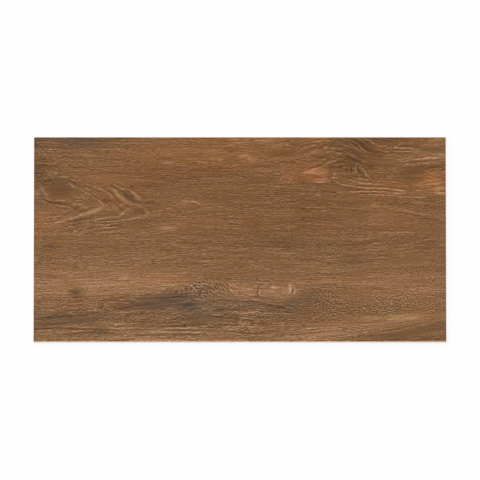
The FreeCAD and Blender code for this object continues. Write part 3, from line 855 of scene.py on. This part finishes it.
# Grain that the print and the relief share. Each pattern is a seed, then layers of noise:
# length along the grain and width across it in mm, and strength.
grain = {
    "fibres": (1.0, [(2.4, 0.9, 0.5), (7.5, 1.0, 0.42), (34, 1.6, 0.28)]),
    "specks": (2.0, [(2.6, 1.7, 0.65), (12, 1.3, 0.25)]),
    "chatter": (3.0, [(5.0, 1.7, 0.8), (3.0, 1.1, 0.5)]),
    "lines": (4.0, [(80, 3.2, 1.0)]),
    "bands": (5.0, [(230, 9, 1.0)]),
    "patches": (6.0, [(28, 11, 1.0)]),
    "clumps": (7.0, [(38, 13, 1.0)]),
    "inkLines": (8.0, [(75, 2.6, 1.0)]),
    "flecks": (9.0, [(13, 3, 1.0)]),
    "shifts": (7.3, 3.1, -5.7),    # layer along, seed across and layer across, so that none coincide
    "crispness": 0.16,             # half the span of the noise that a fibre's edge takes
    "grooveBeside": 1.45,          # mm from a fibre to its fainter groove of the other tone
    "grooveShare": 0.34,
    "fanMiddle": (-52, -76, 0),    # the chatter fans out round this point, mm
    "fanLeft": (-90, -5),          # x in mm and the turn there in degrees
    "fanRight": (-15, 50),
    "reliefDepth": 0.25 * mm,
    "reliefTop": 0.2,              # lines run from -1 to 1, and from here up the face stays level
}


def addFibres(tree, along, across, pattern):
    # stretched noises, sharpened into dashes: each runs from minus to plus its strength
    seed, layers = grain[pattern]
    layerAlong, seedAcross, layerAcross = grain["shifts"]
    faint, full = 0.5 - grain["crispness"], 0.5 + grain["crispness"]
    where = addNode(tree, "CombineXYZ", along, across, 0.0)
    total = 0.0
    for number, (length, width, strength) in enumerate(layers):
        stretch = (1 / length, 1 / width, 0)
        shift = (seed + layerAlong * number, seedAcross * seed + layerAcross * number, 0)
        place = addNode(tree, "VectorMath", where, stretch, shift, operation="MULTIPLY_ADD")
        noise = addNode(tree, "TexNoise", place, inputs={"Scale": 1.0, "Detail": 1.0}, noise_dimensions="2D")
        sharp = addNode(tree, "MapRange", noise, faint, full, -strength, strength,
                        interpolation_type="SMOOTHSTEP")
        total = addNode(tree, "Math", sharp, total, operation="ADD")
    return total


def addRidges(tree, along, across, pattern):
    # fibres, each with a fainter groove of the other tone beside it
    crests = addFibres(tree, along, across, pattern)
    beside = addNode(tree, "Math", across, grain["grooveBeside"], operation="ADD")
    grooves = addFibres(tree, along, beside, pattern)
    return addNode(tree, "Math", grooves, -grain["grooveShare"], crests, operation="MULTIPLY_ADD")


def addFigured(addPattern, tree, on, pattern):
    # the pattern along the plain grain and along the cathedral, mixed where the cathedral lies
    plain = addPattern(tree, on["along"], on["across"], pattern)
    pointed = addPattern(tree, on["along"], on["cathedral"], pattern)
    return addNode(tree, "Mix", on["inCathedral"], plain, pointed)


def embossFace(tile):
    tree = bpy.data.node_groups.new("pressedGrain", "GeometryNodeTree")
    for way in ("INPUT", "OUTPUT"):
        tree.interface.new_socket("Geometry", in_out=way, socket_type="NodeSocketGeometry")
    geometry = addNode(tree, "NodeGroupInput")
    on = {name: addNode(tree, "GeometryNodeInputNamedAttribute", name, data_type="FLOAT")
          for name in ("across", "cathedral", "inCathedral", "onFace")}
    split = addNode(tree, "SeparateXYZ", addNode(tree, "GeometryNodeInputPosition"))
    on["along"] = addNode(tree, "Math", split, 1 / mm, operation="MULTIPLY")
    lines = addFigured(addFibres, tree, on, "lines")
    drop = addNode(tree, "MapRange", lines, -1.0, grain["reliefTop"], -grain["reliefDepth"], 0.0)
    drop = addNode(tree, "Math", drop, on["onFace"], operation="MULTIPLY")
    offset = addNode(tree, "CombineXYZ", 0.0, 0.0, drop)
    pressed = addNode(tree, "GeometryNodeSetPosition", geometry, inputs={"Offset": offset})
    addNode(tree, "NodeGroupOutput", pressed)
    press = tile.modifiers.new("pressedGrain", "NODES")
    press.node_group = tree
    bpy.ops.object.modifier_apply(modifier=press.name)


embossFace(tile)
bpy.ops.object.shade_smooth_by_angle(angle=math.radians(slab["smoothAngle"]))
print("grain pressed into the face:", grain["reliefDepth"] / mm, "mm deep")

# Unglazed porcelain body: dry, pale buff, with darker grains of the fired clay
body = {
    "clay": ["#CBA885", "#E0C1A0", "#EBD3B8"],
    "clayNoise": (0.45, 1.15),      # noise from the first clay to the last
    "grit": 0.9,                    # mm
    "gritShare": 0.6,               # beside the grinding streaks
    "gritBump": (0.4, 0.1 * mm),    # strength and height
    "grinding": (45, 45, 1.1),      # mm, streaks left along the sides, coarser than the real ones to show
    "wash": "#F3EADB",              # kiln wash dusted on the ribs, so that they don't stick to the rollers
    "washHeight": (0.3, 0.1),       # mm above the ribs' crests, from bare to dusted
    "washNoise": (0.6, 0.9),        # noise from bare to dusted
    "roughness": 0.8,
    "ior": 1.5,
    "specular": 0.3,
}

# Matte glaze over a digital wood print: no clear reflection, the colour sits in the surface
glaze = {
    "inks": [(-70, "#351900"), (-38, "#522D07"), (0, "#7C552F"), (38, "#A57F5E"), (75, "#C9A386")],
    "warmInk": "#B2570B",
    "coolInk": "#465F5F",
    "roseInk": "#963759",
    "oliveInk": "#74882A",
    "inkStep": 50,              # steps of 255 that would be pure warm, cool, rose or olive ink
    "fibreTone": 29,
    "clumpStrength": 0.25,      # how far the fibres come and go in clumps
    "lineTone": 14,
    "quietLineTone": 3,
    "strokeGain": 1.4,
    "strokeBreak": 0.9,         # how far the fibres break up a stroke
    "quietStrokeBreak": 0.3,    # the same where the fibres are quiet
    "inkBreak": 0.55,           # how far the ink lines break up a broad shade
    "bandTone": 3,
    "patchWarmth": 1.2,
    "fleckHue": 2.0,
    "roughness": (0.52, 0.7),   # on the pale fibres and on the dark ones
    "fibreSpan": 0.6,           # height of the fibres, either way, that the roughness follows
    "ior": 1.5,
    "specular": 0.2,
    "chipWidth": 1.0,           # how far the chipped front edge reaches onto the face, mm
    "chipLength": 7,            # mm
    "chipNoise": (0.35, 0.7),   # noise from unchipped to the full width
}


def addPrintedFibres(tree, on):
    # the fibres as they are, and the fibres strengthened or quietened by area
    fibres = addFigured(addRidges, tree, on, "fibres")
    specks = addRidges(tree, on["along"], on["upright"], "specks")
    fibres = addNode(tree, "Mix", on["speckled"], fibres, specks)
    (left, leftTurn), (right, rightTurn) = grain["fanLeft"], grain["fanRight"]
    fan = addNode(tree, "MapRange", on["along"], left, right, math.radians(leftTurn), math.radians(rightTurn))
    slanted = addNode(tree, "VectorRotate", on["place"], grain["fanMiddle"], inputs={"Angle": fan},
                      rotation_type="Z_AXIS")
    slanted = addNode(tree, "SeparateXYZ", slanted)
    chatter = addRidges(tree, slanted, slanted.node.outputs["Y"], "chatter")
    fibres = addNode(tree, "Mix", on["chattered"], fibres, chatter)
    clumps = addFibres(tree, on["along"], on["across"], "clumps")
    strength = addNode(tree, "Math", clumps, glaze["clumpStrength"], 1.0, operation="MULTIPLY_ADD")
    strength = addNode(tree, "Math", strength, on["vivid"], strength, operation="MULTIPLY_ADD")
    return fibres, addNode(tree, "Math", fibres, strength, operation="MULTIPLY")


def addMarks(tree, on, tone):
    # splits and the curl, finer than the strips of the face, drawn by distance from their middles
    for name in ("splits", "curl"):
        faint, full = figure[name]["border"]
        for middleX, middleY, halfWidth, halfHeight, step in figure[name]["marks"]:
            shrink = (1 / halfWidth, 1 / halfHeight, 0)
            away = addNode(tree, "VectorMath", on["place"], (middleX, middleY, 0), operation="SUBTRACT")
            away = addNode(tree, "VectorMath", away, shrink, operation="MULTIPLY")
            away = addNode(tree, "VectorMath", away, operation="LENGTH")
            if name == "curl":    # rings, so from the line of the oval
                away = addNode(tree, "Math", away, 1.0, operation="SUBTRACT")
                away = addNode(tree, "Math", away, operation="ABSOLUTE")
            mark = addNode(tree, "MapRange", away, faint, full, 0.0, step, interpolation_type="SMOOTHSTEP")
            tone = addNode(tree, "Math", tone, mark, operation="ADD")
    return tone


def addTone(tree, on, evenFibres, fibres):
    # the painted shades, broken up by lines of ink
    inkLines = addFibres(tree, on["along"], on["across"], "inkLines")
    inky = addNode(tree, "Math", inkLines, glaze["inkBreak"], 1.0, operation="MULTIPLY_ADD")
    tone = addNode(tree, "Math", on["tone"], inky, on["patch"], operation="MULTIPLY_ADD")

    # Strokes broken up by the fibres, less where those are quiet
    quietest = figure["limits"]["vivid"][0]
    breaking = addNode(tree, "MapRange", on["vivid"], quietest, 0.0, glaze["quietStrokeBreak"],
                       glaze["strokeBreak"])
    broken = addNode(tree, "Math", evenFibres, breaking, glaze["strokeGain"], operation="MULTIPLY_ADD")
    tone = addNode(tree, "Math", on["stroke"], broken, tone, operation="MULTIPLY_ADD")

    # The grain itself, with lines in the same place as the relief's, plainer outside the lined areas
    lines = addFigured(addFibres, tree, on, "lines")
    showing = addNode(tree, "MapRange", on["lined"], 0.0, 1.0, glaze["quietLineTone"], glaze["lineTone"])
    bands = addFibres(tree, on["along"], on["across"], "bands")
    for pattern, weight in ((fibres, glaze["fibreTone"]), (lines, showing), (bands, glaze["bandTone"])):
        tone = addNode(tree, "Math", pattern, weight, tone, operation="MULTIPLY_ADD")
    return addMarks(tree, on, tone)


def addInks(tree, on, tone):
    darkest, lightest = glaze["inks"][0][0], glaze["inks"][-1][0]
    colour = addNode(tree, "ValToRGB", addNode(tree, "MapRange", tone, darkest, lightest))
    fillRamp(colour, [((step - darkest) / (lightest - darkest), ink) for step, ink in glaze["inks"]])

    # Warm, cool, rose and olive inks over it, with small patches of their own
    patches = addFibres(tree, on["along"], on["across"], "patches")
    flecks = addFibres(tree, on["along"], on["across"], "flecks")
    warmth = addNode(tree, "Math", patches, glaze["patchWarmth"], on["warmth"], operation="MULTIPLY_ADD")
    blush = addNode(tree, "Math", flecks, glaze["fleckHue"], on["blush"], operation="MULTIPLY_ADD")
    for hue, inks in ((warmth, ("warmInk", "coolInk")), (blush, ("roseInk", "oliveInk"))):
        for ink, full in zip(inks, (glaze["inkStep"], -glaze["inkStep"])):
            share = addNode(tree, "MapRange", hue, 0.0, full)
            colour = addNode(tree, "Mix", share, colour, hexToLinear(glaze[ink]), data_type="RGBA")
    return colour


def chipFrontEdge(tree, on, colour):
    # the glaze chipped back to the pale body in an uneven line
    stretch = (1 / glaze["chipLength"], 0, 0)
    where = addNode(tree, "VectorMath", on["place"], stretch, operation="MULTIPLY")
    ragged = addNode(tree, "TexNoise", where, inputs={"Scale": 1.0, "Detail": 3.0})
    reach = addNode(tree, "MapRange", ragged, *glaze["chipNoise"], 0.0, glaze["chipWidth"])
    inward = addNode(tree, "Math", on["upright"], -cadLow[1] / mm, operation="ADD")
    inward = addNode(tree, "Math", inward, -slab["arris"] / mm, operation="ADD")
    bare = addNode(tree, "Math", inward, reach, operation="LESS_THAN")
    return addNode(tree, "Mix", bare, colour, hexToLinear(body["clay"][1]), data_type="RGBA")


def makeGlaze():
    material, tree = newMaterial("mattePrintedGlaze")
    # what there is to draw on: places in mm, and all that was painted
    on = {"place": addPlaceInMm(tree)}
    on["along"] = addNode(tree, "SeparateXYZ", on["place"])
    on["upright"] = on["along"].node.outputs["Y"]
    painted = ("across", "cathedral", "inCathedral", "tone", "warmth", "patch", "stroke")
    for name in (*painted, *figure["limits"]):
        on[name] = addNode(tree, "Attribute", attribute_name=name).node.outputs["Fac"]
    evenFibres, fibres = addPrintedFibres(tree, on)
    colour = addInks(tree, on, addTone(tree, on, evenFibres, fibres))
    colour = chipFrontEdge(tree, on, colour)
    smoothest, roughest = glaze["roughness"]
    span = glaze["fibreSpan"]
    roughness = addNode(tree, "MapRange", fibres, -span, span, roughest, smoothest)
    shader = addNode(tree, "BsdfPrincipled", inputs={
        "Base Color": colour, "Roughness": roughness, "IOR": glaze["ior"],
        "Specular IOR Level": glaze["specular"]})
    addNode(tree, "OutputMaterial", shader)
    return material


def makeBody():
    material, tree = newMaterial("unglazedBuffPorcelain")
    place = addPlaceInMm(tree)
    grit = addNode(tree, "TexNoise", place, inputs={"Scale": 1 / body["grit"], "Detail": 3.0})
    ground = addNode(tree, "VectorMath", place, body["grinding"], operation="DIVIDE")
    streaks = addNode(tree, "TexNoise", ground, inputs={"Scale": 1.0, "Detail": 3.0})
    mixed = addNode(tree, "Math", grit, body["gritShare"], streaks, operation="MULTIPLY_ADD")
    colour = addNode(tree, "ValToRGB", addNode(tree, "MapRange", mixed, *body["clayNoise"]))
    fillRamp(colour, zip((0, 0.5, 1), body["clay"]))
    height = addNode(tree, "SeparateXYZ", place).node.outputs["Z"]
    onRibs = addNode(tree, "MapRange", height, *body["washHeight"])
    patchy = addNode(tree, "MapRange", mixed, *body["washNoise"])
    dust = addNode(tree, "Math", onRibs, patchy, operation="MULTIPLY")
    washed = addNode(tree, "Mix", dust, colour, hexToLinear(body["wash"]), data_type="RGBA")
    strength, distance = body["gritBump"]
    bump = addNode(tree, "Bump", inputs={"Height": grit, "Strength": strength, "Distance": distance})
    shader = addNode(tree, "BsdfPrincipled", inputs={
        "Base Color": washed, "Roughness": body["roughness"], "IOR": body["ior"],
        "Specular IOR Level": body["specular"], "Normal": bump})
    addNode(tree, "OutputMaterial", shader)
    return material


tile.data.materials.append(makeGlaze())
tile.data.materials.append(makeBody())
frontEdge = cadLow[1] + slab["arris"]
for face in tile.data.polygons:
    onArris = face.normal.z > leaning and face.center.y > frontEdge    # bare along the front
    face.material_index = 0 if face.normal.z > level or onArris else 1
print("glaze and body given their materials")

# Floor, soft light and the view from above
stage = {
    "floorSize": 12,
    "floorGap": 0.1 * mm,   # just clear of the ribs
    "floor": "#FAFAFA",
    "floorGlow": 0.85,      # share of plain white that the camera sees in the floor
    "skyLight": 0.6,
    "sunFrom": (-1.6, 1.2, 2.6),
    "sunWidth": 50,         # degrees of sky that the soft sun fills
    "sunPower": 1.6,
}


def addSeen(tree):
    # 1 on the rays that show the stage itself, 0 on those that only carry its light
    rays = addNode(tree, "LightPath").node
    seen = rays.outputs["Is Camera Ray"]
    for kind in ("Is Glossy Ray", "Is Transmission Ray"):
        seen = addNode(tree, "Math", seen, rays.outputs[kind], operation="MAXIMUM")
    return seen


def buildStage():
    bpy.ops.object.select_all(action="DESELECT")
    under = cadLow[2] - stage["floorGap"]
    bpy.ops.mesh.primitive_plane_add(size=stage["floorSize"], location=(0, 0, under))
    floor = bpy.context.object
    floor.name = "studioFloor"
    material, tree = newMaterial("whitePaper")
    paper = addNode(tree, "BsdfDiffuse", inputs={"Color": hexToLinear(stage["floor"])})
    glow = addNode(tree, "Emission", inputs={"Color": (1, 1, 1, 1), "Strength": 1.0})
    share = addNode(tree, "Math", addSeen(tree), stage["floorGlow"], operation="MULTIPLY")
    addNode(tree, "OutputMaterial", addNode(tree, "MixShader", share, paper, glow))
    floor.data.materials.append(material)

    world = bpy.data.worlds.new("studioWhite")
    world.use_nodes = True
    tree = world.node_tree
    tree.nodes.clear()
    strength = addNode(tree, "MapRange", addSeen(tree), 0.0, 1.0, stage["skyLight"], 1.0)
    sky = addNode(tree, "Background", inputs={"Color": (1, 1, 1, 1), "Strength": strength})
    addNode(tree, "OutputWorld", sky)
    bpy.context.scene.world = world

    lamp = bpy.data.lights.new("softSun", "SUN")
    lamp.angle = math.radians(stage["sunWidth"])
    lamp.energy = stage["sunPower"]
    softSun = bpy.data.objects.new("softSun", lamp)
    softSun.location = stage["sunFrom"]
    softSun.rotation_euler = (-Vector(stage["sunFrom"])).to_track_quat("-Z", "Y").to_euler()
    bpy.context.collection.objects.link(softSun)


buildStage()
print("floor and light in place")

view = {
    "lens": 400,
    "sensor": 36,
    "frameWidth": 696.3 * mm,    # what the square picture spans at the face
    "tilt": 4.5,                 # degrees off straight down, towards the front edge
    "aim": (0.15 * mm, -0.7 * mm),
    "farthest": 100,             # metres
}


def placeCamera():
    camera = bpy.data.cameras.new("view")
    camera.lens = view["lens"]
    camera.sensor_width = view["sensor"]
    camera.sensor_fit = "HORIZONTAL"
    camera.clip_end = view["farthest"]
    distance = view["frameWidth"] * view["lens"] / view["sensor"]
    target = Vector((*view["aim"], cadHigh[2]))
    tilt = math.radians(view["tilt"])
    eye = bpy.data.objects.new("view", camera)
    eye.location = target + distance * Vector((0, -math.sin(tilt), math.cos(tilt)))
    eye.rotation_euler = (tilt, 0, 0)
    bpy.context.collection.objects.link(eye)
    bpy.context.scene.camera = eye


placeCamera()
bpy.context.scene.view_settings.view_transform = "Standard"
print("camera in place")

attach(tile, "root")
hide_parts("porcelain_tile")
